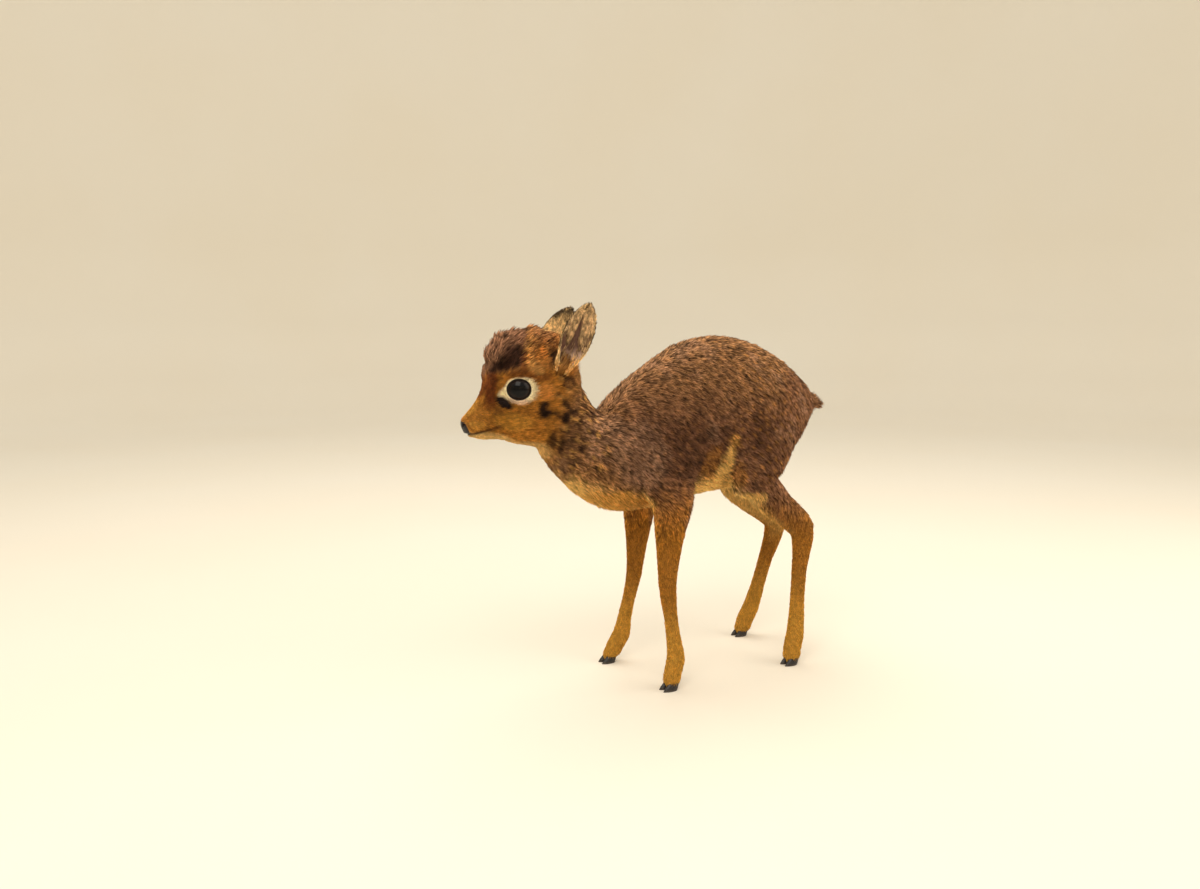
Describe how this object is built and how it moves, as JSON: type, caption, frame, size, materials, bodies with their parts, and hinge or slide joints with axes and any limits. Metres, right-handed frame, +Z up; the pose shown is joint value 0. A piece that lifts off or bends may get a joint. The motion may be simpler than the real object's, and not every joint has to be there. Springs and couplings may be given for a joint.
{
  "type": "dik-dik calf model",
  "caption": "Life-size still model of a young dik-dik antelope standing with arched back, dark brow crest, large dark eyes in pale rings and slender legs.",
  "frame": {"origin": "middle of the bounding box on the floor under the soles", "axes": "+Z up, -Y the way the body faces, +X the animal's left side"},
  "size_m": [0.097, 0.3452, 0.3072],
  "materials": {
    "body_coat": "matte",
    "face_coat": "matte",
    "leg_coat": "matte",
    "ear": "matte",
    "nose": "satin",
    "eye": "gloss",
    "hoof": "satin"
  },
  "bodies": {
    "root": {"head": "face_coat", "nose": "nose", "eye_left": "eye", "eye_right": "eye", "ear_left": "ear", "ear_right": "ear", "neck": "body_coat", "torso": "body_coat", "tail": "body_coat", "foreleg_left_upper": "body_coat", "foreleg_left_cannon": "leg_coat", "foreleg_left_foot": "leg_coat", "foreleg_left_hoof_outer": "hoof", "foreleg_left_hoof_inner": "hoof", "foreleg_right_upper": "body_coat", "foreleg_right_cannon": "leg_coat", "foreleg_right_foot": "leg_coat", "foreleg_right_hoof_outer": "hoof", "foreleg_right_hoof_inner": "hoof", "hindleg_left_thigh": "body_coat", "hindleg_left_gaskin": "body_coat", "hindleg_left_cannon": "leg_coat", "hindleg_left_foot": "leg_coat", "hindleg_left_hoof_outer": "hoof", "hindleg_left_hoof_inner": "hoof", "hindleg_right_thigh": "body_coat", "hindleg_right_gaskin": "body_coat", "hindleg_right_cannon": "leg_coat", "hindleg_right_foot": "leg_coat", "hindleg_right_hoof_outer": "hoof", "hindleg_right_hoof_inner": "hoof"}
  },
  "joints": []
}
